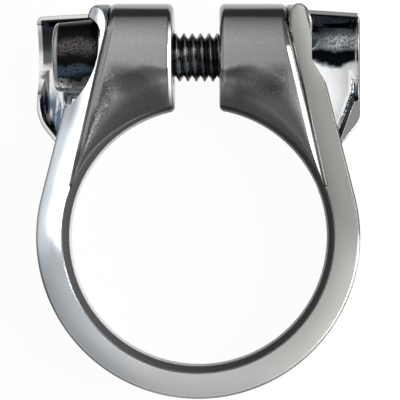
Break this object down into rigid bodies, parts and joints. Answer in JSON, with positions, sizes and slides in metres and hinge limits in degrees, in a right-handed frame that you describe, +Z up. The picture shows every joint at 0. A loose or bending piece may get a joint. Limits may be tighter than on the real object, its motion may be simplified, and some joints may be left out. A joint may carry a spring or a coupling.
{
  "type": "seatpost clamp",
  "caption": "Split ring clamp for a bicycle seat tube: a polished cast band with leaning legs and two bolt lugs, drawn together by a black socket screw with a washer under its head.",
  "frame": {"origin": "centre of the seat tube bore on the clamp's bottom face", "axes": "+Z up along the bore, the way the clamp is lifted off its tube; +Y from the bore to the screw; +X along the screw from its head to its tip"},
  "size_m": [0.0398, 0.047, 0.013],
  "materials": {
    "polished_alloy": "polished",
    "black_steel": "glossy",
    "bright_steel": "bright"
  },
  "bodies": {
    "clamp": {"clamp_body": "polished_alloy"},
    "washer": {"washer": "bright_steel"},
    "screw": {"clamp_bolt": "black_steel"}
  },
  "joints": [
    {"name": "screw_travel", "type": "slide", "parent": "clamp", "child": "washer", "axis": [-1, 0, 0], "range_m": [0, 0.01]},
    {"name": "screw_turn", "type": "hinge", "parent": "washer", "child": "screw", "pos_m": [0, 0.0216, 0.0066], "axis": [-1, 0, 0], "range_deg": [0, 3600]}
  ],
  "couplings": [
    {"joint": "screw_turn", "follows": "screw_travel", "rad_per_m": 6283.2}
  ]
}
